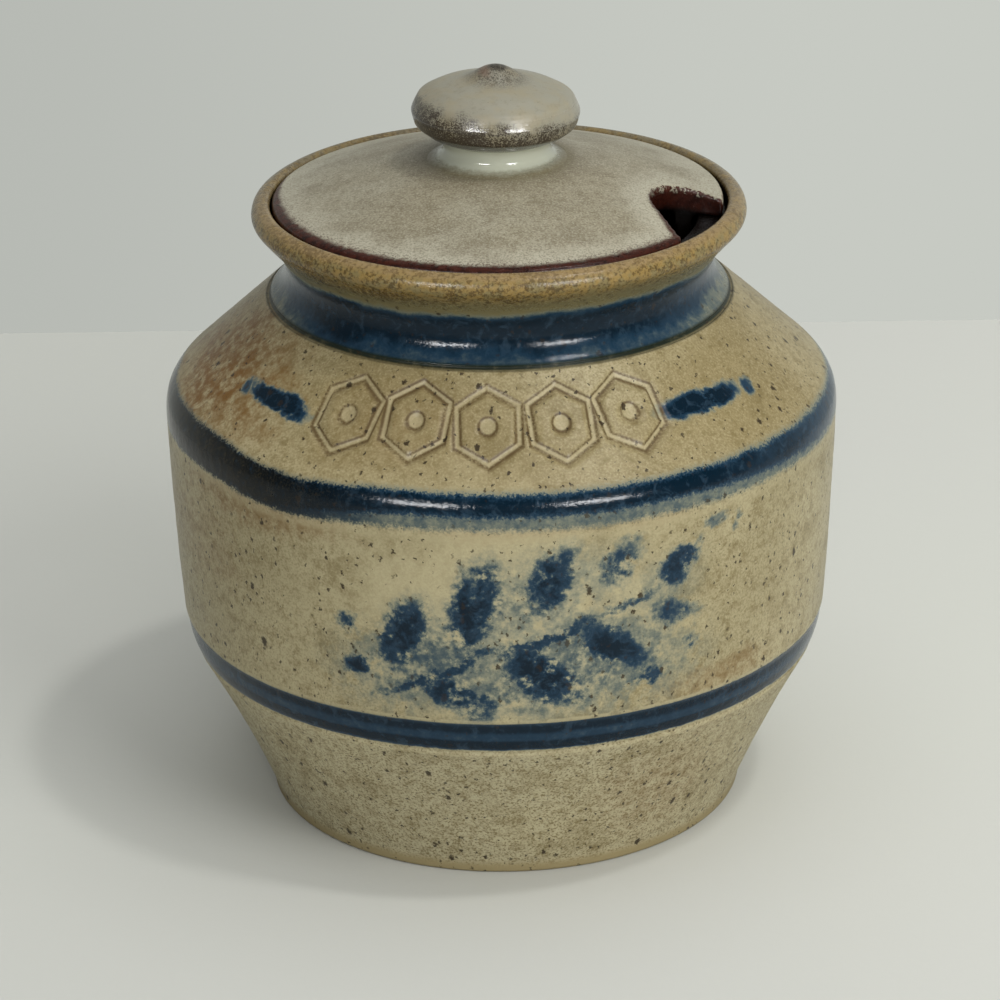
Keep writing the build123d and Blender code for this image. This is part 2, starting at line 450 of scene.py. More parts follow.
def finish_shader(shader, colour, roughness, relief, specular):
    """Feeds a shader with its colour, its roughness, its relief in millimetres and its sheen."""
    feed(shader.inputs["Base Color"], colour)
    feed(shader.inputs["Roughness"], roughness)
    bump = put(shader.id_data, "ShaderNodeBump", {"Distance": MM, "Height": relief})
    feed(shader.inputs["Normal"], bump.outputs[0])
    shader.inputs["Specular IOR Level"].default_value = specular


class Coats:
    """A glaze's colour, built up in coats: each one covers the coats below by an amount."""

    def __init__(self, colour):
        self.colour = colour

    def lay(self, amount, colour):
        self.colour = tint(amount, self.colour, colour)


def brushed(place, edge, across, up, turn, length, width, strength):
    """One touch of a loaded brush: an oval with a soft edge, at a place given in millimetres."""
    inside = made(place.tree, "ShaderNodeMapping", {
        "Vector": place, "Location": (across, up, 0), "Rotation": (0, 0, math.radians(turn)),
        "Scale": (length / 2, width / 2, 1),
    }, vector_type="TEXTURE")
    distance = vector_maths("LENGTH", inside)
    return fade(distance, 1 - edge, 1 + edge, 1, 0) * strength


# Cobalt touches on the unrolled belly: (across, height, turn in degrees, length, width, strength).
SPRIG = (
    # pale washes behind the leaves
    (-12.5, 44.0, 14, 30, 17, 0.46),
    (14.5, 44.5, -10, 34, 18, 0.44),
    (4.5, 55.0, 18, 27, 15, 0.38),
    (0.5, 39.5, 0, 42, 10, 0.42),
    (25.5, 55.0, 30, 15, 11, 0.30),
    # stem
    (-11.0, 42.0, 24, 25, 2.2, 0.70),
    (6.5, 48.6, 19, 18, 2.0, 0.70),
    (19.5, 53.2, 22, 13, 1.8, 0.55),
    # leaves above the stem
    (-16.0, 48.5, 66, 13, 6.4, 0.92),
    (-5.0, 53.5, 74, 15, 7.2, 1.0),
    (7.0, 58.2, 64, 13, 6.2, 0.9),
    (18.0, 60.2, 56, 10, 4.6, 0.62),
    # leaves below the stem
    (-7.5, 38.6, -26, 13, 5.8, 0.85),
    (5.5, 42.0, -36, 14.5, 7.0, 1.0),
    (17.0, 46.2, -38, 13, 6.0, 0.92),
    (27.0, 50.2, -30, 9.5, 4.6, 0.6),
    # bud at the tip
    (28.0, 58.0, 40, 7.5, 5.6, 0.8),
    # berries
    (-24.0, 43.0, 0, 4.4, 4.2, 0.85),
    (-25.3, 49.4, 0, 3.8, 3.4, 0.6),
    (23.0, 40.0, 0, 4.6, 4.0, 0.8),
    (30.5, 43.8, 0, 3.6, 3.4, 0.5),
)
PALE_WASH = 0.4  # touches weaker than this are washes with very soft edges
DABS = (
    (34.5, 64.0, 10, 5, 3.4, 0.4),
    (39.5, 62.5, 80, 4.6, 1.8, 0.38),
)

# The dashes at the ends of the stamped row, placed by their angle from the front in degrees:
# (angle, height, turn in degrees, length, width, strength).
DASHES = (
    (-49.5, 79.2, -4, 15.0, 3.3, 1.05),
    (-60.3, 78.9, 30, 2.2, 3.2, 0.55),
    (43.0, 79.5, 0, 15.5, 4.2, 1.15),
    (56.5, 78.8, -40, 2.8, 3.8, 0.6),
)

# Orange flashes, where the flame touched: (degrees from the front, height, width in degrees,
# height of the patch, strength).
FLASHES = (
    (-72, 79, 30, 11, 1.0), (-46, 64.5, 24, 4.0, 0.6), (-66, 55, 22, 11, 0.28),
    (33, 15, 18, 13, 0.3), (39, 36.5, 16, 3.2, 0.5), (8, 67, 30, 2.2, 0.3),
    (-22, 80, 20, 7, 0.16), (118, 60, 28, 26, 0.4), (-118, 24, 28, 14, 0.3),
)

# Levels on the pot in millimetres above the table.
LOWER_BAND = (28.5, 33.7)
LOWER_LINES = ((31.9, 33.3, 0.5, 0.3), (28.9, 30.3, 0.45, 0.45))  # (foot, top, edge, strength)
SHOULDER_BAND = (66.9, 72.9)
TURNED_LINE = (86.55, 87.35)
NECK_BAND = (87.1, 94.65)
LIP = 101.8

BELLY_RADIUS = 54.4
SHOULDER_RADIUS = 46.4
SHOULDER_MIDDLE = 79.2
SHOULDER_SLOPE = 0.686  # how much of a step up the shoulder's slope is height


def unrolled_shoulder(turn, z):
    """Across and up on the shoulder's cone as if it lay flat, from an angle and a height."""
    return turn * SHOULDER_RADIUS, (z - SHOULDER_MIDDLE) / SHOULDER_SLOPE + SHOULDER_MIDDLE


def pot_glaze(hues, sizes, crest, foot):
    """Salt glaze over a speckled body, with cobalt bands, dashes and a sprig.

    crest and foot are distances along the pot's outline: to the top of the rim, and to the
    outer edge of the foot.
    """
    material, shader, place = new_material("pot_glaze")
    x, y, z = split(place)
    turn = maths("ARCTAN2", x, -y)
    degrees = turn * math.degrees(1)
    path = made(place.tree, "ShaderNodeAttribute", out="Fac", attribute_name="path")
    outside = fade(path, crest - 0.4, crest + 0.4, 1, 0) * fade(path, foot - 0.6, foot + 0.2)

    broad = noise(place, 0.035, 3.0, 0.55)
    patchy = noise(place, 0.14, 4.0, 0.6)
    mottled = noise(place, 0.62, 4.0, 0.62)
    grain = noise(place, 2.6, 3.0, 0.6)
    ragged = (patchy - 0.5) * 2.2 + (mottled - 0.5) * 1.6 + (grain - 0.5) * 0.5
    rim_slope = 0.0157
    level = z - x * rim_slope + ragged * 0.55

    def near(angle, height, wide, tall):
        """How far a point is from the middle of an oval on the wall; its edge is at 1."""
        return hypotenuse((degrees - angle) / wide, (z - height) / tall)

    # The body of the glaze, from the taper up to the shoulder.
    # The lower wall's colour is partly its paler glaze and partly painted light, made lighter for
    # the light thrown up from the table.
    coats = Coats(hues.taper)
    lay = coats.lay
    lay(fade(z, 25, 36), hues.belly)
    lay(fade(z, 66, 76), hues.shoulder)
    lay(fade(broad, 0.40, 0.66) * 0.5, hues.pale)
    lay(fade(patchy, 0.50, 0.72) * 0.55, hues.brown)
    lay(fade(mottled, 0.46, 0.70) * 0.6, hues.brown)
    coarse = fade(z, 34, 24, 0.45, 0.85)
    lay(fade(grain, 0.46, 0.66) * coarse, hues.brown)
    lay(fade(grain, 0.48, 0.32) * coarse * 0.6, hues.pale)
    # Partly a paler glaze and partly painted light: the front of the belly is laid paler where the
    # light falls most.
    pale_and_lit_patch = near(0, 55, 32, 20) + (patchy - 0.5) * 1.4
    lay(fade(pale_and_lit_patch, 1.3, 0.3) * 0.58, hues.pale)
    heat = largest(
        fade(near(*oval) + (patchy - 0.5) * 1.6, 0.2, 1.15, strength, 0)
        for *oval, strength in FLASHES
    )
    lay(heat * fade(mottled, 0.25, 0.62), hues.flash)

    # The neck and rim: olive under the roll, ochre on it, and pinkish on the bare lip.
    lay(fade(level, 93.8, 95.4), hues.olive)
    lay(fade(level + ragged * 0.5, 96.8, 99.2), hues.ochre)
    lay(fade(mottled, 0.42, 0.6) * fade(level, 96.5, 98) * 0.68, hues.olive)
    lip = tint(fade(y, 20, -25), hues.lip_back, hues.lip)
    lip = tint(fade(mottled, 0.44, 0.62) * 0.5, lip, hues.ochre)
    lay(fade(z + ragged * 0.25, LIP - 0.5, LIP + 0.5), lip)
    freckle = noise(place, 1.5, 5.0, 0.72) + fade(x, 30, -30, 0.012, 0.04)
    freckle = freckle + (patchy - 0.5) * 0.25
    sprinkled = fade(freckle, 0.5, 0.6) * fade(level, 95.6, 98.2)
    lay(sprinkled * fade(z, LIP + 0.6, LIP - 0.8, 0.44, 0.68), hues.rim_speckle)
    lay(fade(z + ragged * 0.5, 2.8, 0.9), hues.foot)

    # Cobalt. Each band is a strength from 0, bare, to 1, laid on thickly.
    left = fade(degrees, -12, -48) * fade(degrees, -176, -135)
    right = fade(degrees, 25, 80) * fade(degrees, 176, 135)
    side = fade(abs(degrees + 3), 44, 72)
    neck_foot, neck_top = NECK_BAND
    neck = fade(z, neck_foot - 0.2, neck_foot + 0.2)
    neck = neck * fade(level + ragged * 0.5, neck_top - 1.55, neck_top + 1.55, 1, 0)
    neck = neck * lerp(side, 0.88, 0.6)
    neck = neck + between(degrees, -50, -40, 6) * neck * 0.3
    neck = neck * fade(level + (patchy - 0.5) * 4, neck_foot + 0.5, neck_foot + 3.5, 0.62, 1)
    dip = fade(abs(degrees + 38), 0, 22, -1.1, 0)
    shoulder_level = z - dip + ragged * 0.42 + (grain - 0.5) * 1.5
    band_foot, band_top = SHOULDER_BAND
    wash = between(shoulder_level, band_foot, band_top, 0.9) * lerp(left, 0.4, 0.7)
    core_foot = lerp(left, 69.6, 68.2) - right * 1.4
    core = fade(shoulder_level - core_foot, -0.8, 0.8)
    core = core * fade(shoulder_level, band_top - 1.4, band_top, 1, 0)
    core = core * (lerp(right, 0.68, 0.3) + left * 0.3)
    core = core * fade(patchy + mottled * 0.3, 0.5, 0.66, 1.0, 0.72)
    shoulder = wash + core
    low = between(z - x * 0.006 + ragged * 0.2, *LOWER_BAND, 0.3) * 0.6
    upper_line, lower_line = (
        between(z + ragged * 0.2, *line) * strength for *line, strength in LOWER_LINES
    )
    low = low + (upper_line + lower_line) * fade(abs(degrees), 30, 85, 1, 0.35)

    sway, tremble = drift(place, 0.17, 3.0, 0.5, 5.0), drift(place, 0.9, 3.0, 0.62, 2.7)
    wander = vector_maths("ADD", sway, tremble)
    belly = vector_maths("ADD", join(turn * BELLY_RADIUS, z), wander)
    sprig = largest(
        brushed(belly, 0.8 if touch[-1] > PALE_WASH else 0.95, *touch) for touch in SPRIG
    )
    sprig = sprig * fade(patchy + (mottled - 0.5) * 0.6, 0.22, 0.5, 0.62, 1.0)
    dabs = largest(brushed(belly, 0.5, *dab) for dab in DABS)
    cone = vector_maths("ADD", join(*unrolled_shoulder(turn, z)), scaled(wander, 0.55))
    dashes = largest(
        brushed(cone, 0.5, *unrolled_shoulder(math.radians(angle), height), *stroke)
        for angle, height, *stroke in DASHES
    )

    cobalt = largest((neck, shoulder, low, sprig, dabs, dashes)) * outside
    cobalt = cobalt + (mottled - 0.5) * 0.38 * fade(cobalt, 0.05, 0.3)
    blue = Coats(hues.wash)
    blue.lay(fade(cobalt, 0.24, 0.62), hues.cobalt)
    blue.lay(fade(cobalt, 0.52, 0.92), hues.deep)
    clouds = fade(noise(place, 0.5, 4.0, 0.65, 0.6), 0.5, 0.68) * fade(cobalt, 0.4, 0.8)
    blue.lay(clouds * 0.3, hues.thread)
    burnt = between(shoulder_level, band_foot - 0.1, band_top + 0.1, 0.6)
    burnt = burnt * left * fade(mottled, 0.2, 0.48)
    mixed_grain = grain * 0.6 + mottled * 0.4
    blue.lay(burnt * 0.92, tint(fade(mixed_grain, 0.5, 0.62) * 0.12, hues.burnt, hues.brown))
    lay(fade(cobalt + (grain - 0.5) * 0.14, 0.02, 0.5), blue.colour)

    # Pale clay shows along the ridge over the lower band and beside the shoulder band.
    ridge = between(z, 33.75, 34.35, 0.15) + between(z, 27.0, 27.7, 0.3) * 0.5
    ridge = ridge + between(shoulder_level, 65.3, 66.6, 0.5) * 0.5
    lay(ridge * outside * 0.6 * fade(mottled, 0.35, 0.55), hues.pale)

    # Glaze pools in the turned line and at the foot of each stamped wall.
    line = between(z, *TURNED_LINE, 0.22)
    depth, pool = stamp_row(place, sizes)
    lay(line * outside * fade(mottled, 0.2, 0.5, 0.75, 1), hues.line)
    lay(pool * outside * fade(grain + patchy - 0.5, 0.2, 0.6, 0.35, 0.95), hues.pool)
    lay(depth * (1 - pool) * outside * 0.35, hues.pale)

    # Iron specks burnt out of the clay.
    warped = vector_maths("ADD", place, drift(place, 1.7, 3.0, 0.6, 1.3))
    iron = largest((
        specks(warped, 0.11, 0.35, 0.085, (1, 1, 0.7)),
        specks(warped, 0.36, 0.6, 0.2, (1, 1, 0.62)),
        specks(warped, 0.85, 0.65, 0.28, (1, 1, 0.8)) * fade(patchy, 0.32, 0.52, 0.4, 1.0),
    ))
    iron = iron * fade(cobalt, 0.2, 0.6, 1, 0.5) * fade(z, 95, 98, 1, 0.25)
    lay(iron * 0.92, hues.iron)

    # Inside and underneath.
    # The brown inside glaze, partly real and partly painted shade: darkened for the shade inside
    # the pot.
    inside_glaze_and_shade = tint(fade(patchy, 0.4, 0.7), hues.inside, hues.brown)
    inside_glaze_and_shade = tint(fade(mottled, 0.55, 0.75) * 0.5, inside_glaze_and_shade, hues.flash)
    # Painted shade: the inner wall just past the lip is laid near black for the shade in the mouth.
    lay(fade(path, crest + 0.9, crest + 1.9), hues.painted_mouth_shade)
    lay(fade(path, crest + 16, crest + 30), inside_glaze_and_shade)
    bare = fade(path, foot - 0.6, foot + 0.3, 1, 0)
    lay(bare, tint(fade(mottled, 0.4, 0.65), hues.clay, hues.brown))

    roughness = lerp(fade(z, 24, 38), 0.52, 0.36)
    roughness = lerp(fade(cobalt, 0.1, 0.6), roughness, 0.15)
    roughness = lerp(fade(z, 94, 97), roughness, 0.26)
    roughness = roughness + (grain - 0.5) * 0.16 + (patchy - 0.5) * 0.12 + bare * 0.3
    smooth = largest((between(z, 87, 96, 1.0), between(z, 67, 73.5, 1.0)))
    relief = (grain - 0.5) * lerp(smooth, 0.035, 0.014) + (mottled - 0.5) * 0.08
    finish_shader(shader, coats.colour, roughness, relief, specular=0.22)
    return material


def notch_distance(x, y, sizes):
    """How far a point of the lid is outside the spoon notch, in millimetres."""
    angle = sizes.notch_angle
    forward = x * math.cos(angle) + y * math.sin(angle) - sizes.notch_out / MM
    aside = y * math.cos(angle) - x * math.sin(angle) - sizes.notch_shift / MM
    radius = sizes.notch_radius / MM
    from_round = hypotenuse(forward, aside) - radius
    slant = math.radians(45)
    from_slant = -(forward * math.sin(slant) + aside * math.cos(slant)) - radius
    beyond = forward * math.cos(slant) - aside * math.sin(slant)
    on_slant = maths("GREATER_THAN", beyond, 0.0) * maths("LESS_THAN", aside, 0.0)
    return lerp(on_slant, from_round, from_slant)


def satin_glaze(place, radius, edge, hues):
    """The lid's satin glaze: mottled, browner near the knob and paler near the edge.

    Returns its coats, and its patchy, mottled and grainy clouds.
    """
    broad = noise(place, 0.05, 3.0, 0.55)
    patchy = noise(place, 0.17, 4.0, 0.6)
    mottled = noise(place, 0.8, 4.0, 0.65)
    grain = noise(place, 3.0, 3.0, 0.65)
    coats = Coats(hues.lid)
    lay = coats.lay
    lay(fade(broad, 0.35, 0.65), hues.lid_warm)
    lay(fade(radius + (patchy - 0.5) * 9, 17.0, 11.0) * 0.4, hues.lid_brown)
    lay(fade(patchy, 0.44, 0.66) * 0.34, hues.lid_brown)
    lay(fade(mottled, 0.46, 0.68) * 0.45, hues.lid_brown)
    lay(fade((patchy - 0.5) * 8 + edge, 8.0, 1.5) * 0.7, hues.lid_pale)
    lay(fade(grain, 0.48, 0.66) * 0.64, hues.lid_brown)
    lay(fade(grain, 0.47, 0.33) * 0.6, hues.lid_pale)
    lay(fade(radius + (mottled - 0.5) * 2.0, 13.2, 10.8) * 0.5, hues.neck_edge)
    return coats, patchy, mottled, grain


# Two scuffs on the lid: (x, y, turn in degrees, length, width, strength).
SCUFFS = (
    (-7.5, -20.5, 25, 1.6, 0.9, 0.8),
    (-31.5, -3.5, 70, 1.7, 0.8, 0.8),
)
DOME_EDGE, DOME_SLOPE, DOME_FOOT = 35.2, 0.267, 102.5


def lid_glaze(hues, sizes):
    """A pale satin glaze that breaks to red iron at the edges and in the spoon notch."""
    material, shader, place = new_material("lid_glaze")
    x, y, z = split(place)
    radius = hypotenuse(x, y)
    from_notch = notch_distance(x, y, sizes)
    edge = maths("MINIMUM", sizes.lid_radius / MM - radius, from_notch)
    over_dome = z - ((DOME_EDGE - radius) * DOME_SLOPE + DOME_FOOT)
    above = fade(over_dome, -1.0, -0.35)
    coats, patchy, mottled, grain = satin_glaze(place, radius, edge, hues)
    lay = coats.lay
    fine = specks(place, 1.2, 0.3, 0.17)
    coarse = specks(place, 0.22, 0.25, 0.07)
    scuffs = largest(brushed(place, 0.4, *scuff) for scuff in SCUFFS)
    lay(largest((fine * 0.35, coarse * 0.6, scuffs)), hues.lid_speck)

    ragged = (mottled - 0.5) * 1.7 + (grain - 0.5) * 1.5
    front = fade(y + x * 0.3, 4.0, -20.0, 0.3, 2.0)
    worn = fade(edge + ragged, front, front * 0.5)
    sprinkle = fade(edge + (grain - 0.5) * 6, front * 1.8, front) * fade(grain, 0.5, 0.58)
    rust = Coats(hues.rust)
    rust.lay(fade(mottled, 0.4, 0.65), hues.rust_deep)
    rust.lay(fade(grain, 0.6, 0.7) * fade(z, 99, 101) * 0.5, hues.rust_bloom)
    notch_wall = fade(from_notch, 0.5, 0.25) * fade(over_dome, -0.3, -0.9)
    rust.lay(notch_wall * 0.6, hues.rust_deep)
    # Painted shade: below the lid's edge, under the dome and on the flange, the colour goes near
    # black for the shade there.
    rust.lay(fade(over_dome, -2.4, -3.8), hues.painted_mouth_shade)
    bare = largest((worn, sprinkle * 0.85, 1 - above))
    lay(bare, rust.colour)

    roughness = lerp(bare, 0.42, 0.3) + (grain - 0.5) * 0.15 + (patchy - 0.5) * 0.1
    relief = (grain - 0.5) * 0.035 + (mottled - 0.5) * 0.05
    finish_shader(shader, coats.colour, roughness, relief, specular=0.25)
    return material


KNOB_TIP = (0.0, -0.4, 123.9)


def knob_glaze(hues):
    """The lid's glaze, thin and iron speckled under the knob, and thick and glossy on its neck."""
    material, shader, place = new_material("knob_glaze")
    x, y, z = split(place)
    radius = hypotenuse(x, y)
    patchy = noise(place, 0.22, 3.0, 0.6)
    mottled = noise(place, 0.95, 4.0, 0.65)
    grain = noise(place, 4.2, 3.0, 0.7)
    coats = Coats(hues.knob)
    lay = coats.lay
    lay(fade(patchy, 0.4, 0.65), hues.lid_warm)
    lay(fade(mottled, 0.5, 0.75) * 0.35, hues.lid_brown)
    head = fade(radius + (z - 112.2) * 1.6, 9.4, 10.6)
    neck = 1 - head
    low = fade(z + x * 0.14 + (patchy - 0.5) * 6, 120.6, 112.6) * head
    salt = fade(grain * 0.72 + mottled * 0.28 + low * 0.15, 0.52, 0.59)
    lay(low * 0.6, hues.lid_brown)
    lay(salt * fade(low, 0.05, 0.4, 0.0, 0.92) * head, hues.knob_speckle)
    lay(specks(place, 1.4, 0.2, 0.17) * 0.4, hues.lid_speck)
    lay(neck * fade(z, 109.3, 110.6), hues.neck_pale)
    skirt = fade(z + (mottled - 0.5) * 0.8, 109.8, 108.9) * neck
    far_from_edge = 20.0
    lid_coats = satin_glaze(place, radius, far_from_edge, hues)[0]
    lay(neck, tint(skirt, hues.neck_pale, lid_coats.colour))

    from_tip = vector_maths("SUBTRACT", place, KNOB_TIP)
    across = split(from_tip)[0]
    from_tip = vector_maths("LENGTH", from_tip) + (mottled - 0.5) * 2.4
    smudge = fade(from_tip, 7.0, 3.2) * fade(grain + mottled * 0.4, 0.64, 0.78, 0.2, 1)
    lay(smudge * 0.8, hues.knob_speckle)
    crescent = fade(from_tip, 3.6, 2.8) * fade(across, -0.6, -1.9)
    lay(crescent * 0.55, hues.tip_pink)
    burnt_tip = fade(from_tip, 1.9, 1.0) * fade(grain, 0.4, 0.52, 0.5, 1)
    lay(burnt_tip, hues.tip_dark)

    roughness = lerp(head, 0.12, 0.13) + (grain - 0.5) * 0.1 * head + skirt * 0.28
    roughness = roughness + fade(z, 117.3, 119.3) * 0.26
    relief = ((grain - 0.5) * 0.016 + (mottled - 0.5) * 0.035) * head
    finish_shader(shader, coats.colour, roughness, relief, specular=0.5)
    return material


TABLE_CLOUDS, TABLE_PAINTED_SHADE = (0.56, 0.56, 0.53), (0.33, 0.34, 0.32)


def table_paint(colour):
    """Matt paint, with faint clouding, painted shade that darkens it a little towards the left, and
    a fine relief.
    """
    material, shader, place = new_material("table_paint")
    cloud = noise(place, 0.004, 3.0, 0.5)
    grit = noise(place, 0.35, 3.0, 0.6)
    across = split(place)[0]
    coats = Coats(colour)
    lay = coats.lay
    lay(fade(cloud, 0.35, 0.65) * 0.5, TABLE_CLOUDS)
    # Painted shade: the table darkens towards the left, away from the lamps at the right.
    lay(fade(across, 260, -160) * 0.3, TABLE_PAINTED_SHADE)
    finish_shader(shader, coats.colour, 0.6, (grit - 0.5) * 0.05, specular=0.0)
    return material


# ---- Properties ----


def Number(name, description, default, **kinds):
    return bpy.props.FloatProperty(name=name, description=description, default=default, **kinds)


def Count(name, description, default, least):
    return bpy.props.IntProperty(name=name, description=description, default=default, min=least)


def Length(name, description, millimetres):
    return Number(name, description, millimetres * MM, unit="LENGTH", precision=5)


def Angle(name, description, degrees):
    return Number(name, description, math.radians(degrees), unit="ROTATION")


def Watts(name, description, default):
    return Number(name, description, default, min=0, unit="POWER")


def Colour(name, description, *rgb):
    """A colour property, from a colour picked from 0 to 255 in sRGB."""
    parts = (channel / 255 for channel in rgb)
    linear = tuple(c / 12.92 if c <= 0.04045 else ((c + 0.055) / 1.055) ** 2.4 for c in parts)
    return bpy.props.FloatVectorProperty(
        name=name, description=description, default=linear, min=0, max=1, size=3, subtype="COLOR"
    )


class PotShape(bpy.types.PropertyGroup):
    """Sizes of the pot's surface work."""

    columns: Count("Columns", "Faces round the pot", 250, 60)
    crowding: Number(
        "Crowding to the Front", "How far the faces crowd to the front, from 0 to 1",
        0.62, min=0, max=0.9,
    )
    wheel_marks: Length("Wheel Marks", "Height of the rings left by the potter's fingers", 0.16)
    out_of_round: Length("Out of Round", "How far the pot strays from a true circle", 0.5)
    stamp_depth: Length("Stamp Depth", "How deep the cells are pressed into the shoulder", 0.55)
    stamp_width: Length("Stamp Width", "Across a stamped cell, from flat to flat", 9.6)
    stamp_level: Length("Stamp Height", "Height of the row's middle above the table", 80.2)
    stamp_pitch: Angle("Stamp Pitch", "Angle from one stamped cell to the next", 14.6)
    stamp_middle: Angle("Stamp Middle", "Angle from the front to the middle cell", -2.8)


class LidShape(bpy.types.PropertyGroup):
    """Sizes of the lid and its spoon notch."""

    lid_radius: Length("Lid Radius", "From the middle to the lid's edge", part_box("lid")[1].x / MM)
    edge_thickness: Length("Edge Thickness", "Thickness of the lid's edge", 3.1)
    wall: Length("Wall", "Thickness of the dome", 4.0)
    notch_angle: Angle("Notch Angle", "Where the spoon notch is, round from the right", -22.4)
    notch_radius: Length("Notch Radius", "Radius of the notch's round side", 7.3)
    notch_out: Length("Notch Centre", "From the lid's middle to the centre of the round side", 33.0)
    notch_shift: Length("Notch Shift", "How far the round side is off the notch's middle", 2.7)
    grain: Length("Mesh Grain", "Size of the cells that the lid's skin is made from", 0.37)
    seat_left: Length("Seat to the Left", "How far the loose lid has slid to the left", 0.2)


class KnobShape(bpy.types.PropertyGroup):
    """Sizes of the knob."""

    columns: Count("Columns", "Faces round the knob", 200, 40)
    lean: Angle("Lean", "How far the knob's head leans to the right", 1.4)
    tip_aside: Length("Tip Aside", "How far the twist of clay on top sits to the left", 0.05)


class Glazes(bpy.types.PropertyGroup):
    """Colours of the glazes and the clay."""

    shoulder: Colour("Shoulder", "Glaze on the shoulder", 134, 121, 86)
    belly: Colour("Belly", "Glaze on the belly", 151, 141, 108)
    # Partly the lower wall's paler glaze, and partly painted light for the light thrown up from the
    # table.
    taper: Colour("Lower Wall", "Glaze on the lower wall", 170, 162, 132)
    foot: Colour("Foot", "Glaze that has run to the foot", 140, 127, 92)
    pale: Colour("Pale Glaze", "Thin, pale glaze", 178, 168, 134)
    brown: Colour("Brown Mottle", "Brown mottling", 106, 92, 56)
    flash: Colour("Flash", "Orange flashing", 106, 75, 32)
    rim_speckle: Colour("Rim Speckle", "Dark speckle on the rim", 58, 41, 20)
    olive: Colour("Olive", "Glaze under the rim", 114, 106, 74)
    ochre: Colour("Ochre", "Glaze on the rim's roll", 134, 112, 66)
    lip_back: Colour("Lip, Back", "Thin glaze on the back of the lip", 111, 102, 81)
    lip: Colour("Lip", "Thin glaze on the lip", 134, 114, 80)
    # Partly the brown inside glaze, and partly painted shade: darkened for the shade inside the
    # pot.
    inside: Colour("Inside", "Glaze inside the pot", 60, 42, 26)
    clay: Colour("Clay", "Bare clay", 158, 130, 98)
    wash: Colour("Wash", "Thin cobalt", 96, 107, 100)
    cobalt: Colour("Cobalt", "Cobalt", 26, 50, 68)
    deep: Colour("Deep Cobalt", "Cobalt laid on thickly", 3, 23, 36)
    thread: Colour("Cobalt Clouds", "Paler clouds in the cobalt", 56, 78, 96)
    burnt: Colour("Burnt Cobalt", "Cobalt burnt nearly black", 8, 9, 7)
    line: Colour("Turned Line", "Glaze in the turned line", 24, 32, 22)
    pool: Colour("Pooled Glaze", "Glaze pooled in the stamps", 84, 67, 40)
    iron: Colour("Iron Specks", "Iron specks in the clay", 44, 33, 20)
    lid: Colour("Lid", "Glaze on the lid", 146, 141, 122)
    lid_warm: Colour("Lid, Warm", "Warmer glaze on the lid", 138, 131, 110)
    lid_pale: Colour("Lid, Pale", "Pale glaze at the lid's edge", 168, 164, 146)
    lid_brown: Colour("Lid, Brown", "Brown mottling on the lid", 100, 90, 70)
    lid_speck: Colour("Lid Specks", "Specks on the lid", 58, 47, 36)
    rust: Colour("Rust", "Iron red at the lid's edge", 60, 26, 16)
    rust_deep: Colour("Deep Rust", "Iron red where it is thick", 30, 9, 5)
    # Painted shade, not a glaze: the near black laid in the pot's mouth and under the lid.
    painted_mouth_shade: Colour("Dark Inside", "Dark glaze in the mouth, below the lid", 6, 4, 3)
    rust_bloom: Colour("Rust Bloom", "Pale bloom on the iron red", 110, 80, 74)
    knob_speckle: Colour("Knob Speckle", "Iron speckle under the knob", 46, 36, 26)
    neck_pale: Colour("Knob Neck", "Thick pale glaze on the knob's neck", 182, 184, 166)
    neck_edge: Colour("Knob Foot", "Glaze at the knob's foot", 108, 100, 72)
    knob: Colour("Knob", "Glaze on the knob", 136, 133, 118)
    tip_dark: Colour("Tip, Dark", "Burnt patch on the knob's tip", 34, 26, 18)
    tip_pink: Colour("Tip, Pink", "Pink clay beside the burnt patch", 104, 80, 66)


class Studio(bpy.types.PropertyGroup):
    """The table, the backdrop, the lights and the camera."""

    table: Colour("Table", "The table's paint", 199, 200, 192)
    backdrop: Colour("Backdrop", "Colour behind the table", 199, 202, 195)
    # Painted shade on the backdrop, towards the left.
    backdrop_painted_shade: Colour("Backdrop, Left", "Colour behind the table, at the left", 183, 186, 180)
    table_depth: Length("Table Depth", "From the pot's middle back to the table's edge", 212)
    key: Watts("Key Light", "Lamp overhead", 4.2)
    glint_right: Watts("Right Glint", "Lamp at the right that shows only as a glint", 25.0)
    glint_left: Watts("Left Glint", "Lamp at the left that shows only as a glint", 24.0)
    fill: Watts("Fill Light", "Large lamp at the right", 15.0)
    ceiling: Watts("Ceiling Light", "Large lamp overhead", 9.0)
    front: Watts("Front Light", "Soft lamp in front", 13.5)
    sky: Number("Room Light", "Strength of the light all round", 0.4, min=0)
    lens: Number("Lens", "Focal length", 144.0, unit="CAMERA")
    distance: Length("Camera Distance", "From the camera to the pot", 665.9)
    elevation: Angle("Camera Elevation", "How far the camera looks down", 23.1)
    roll: Angle("Camera Roll", "How far the camera is turned about its own line of sight", -0.8)


class HoneyPotSettings(bpy.types.PropertyGroup):
    """Everything that can be set."""

    pot: bpy.props.PointerProperty(type=PotShape)
    lid: bpy.props.PointerProperty(type=LidShape)
    knob: bpy.props.PointerProperty(type=KnobShape)
    glazes: bpy.props.PointerProperty(type=Glazes)
    studio: bpy.props.PointerProperty(type=Studio)


# ---- Pieces ----


def pot_spacing(spot):
    """How far apart the pot's rows are: finest where the shoulder is stamped, coarse inside."""
    radius, height = spot
    if 72 < height < 88 and radius > 37:
        return 0.45
    outside = radius > 38.5 or height > 86
    return 0.9 if outside else 2.8


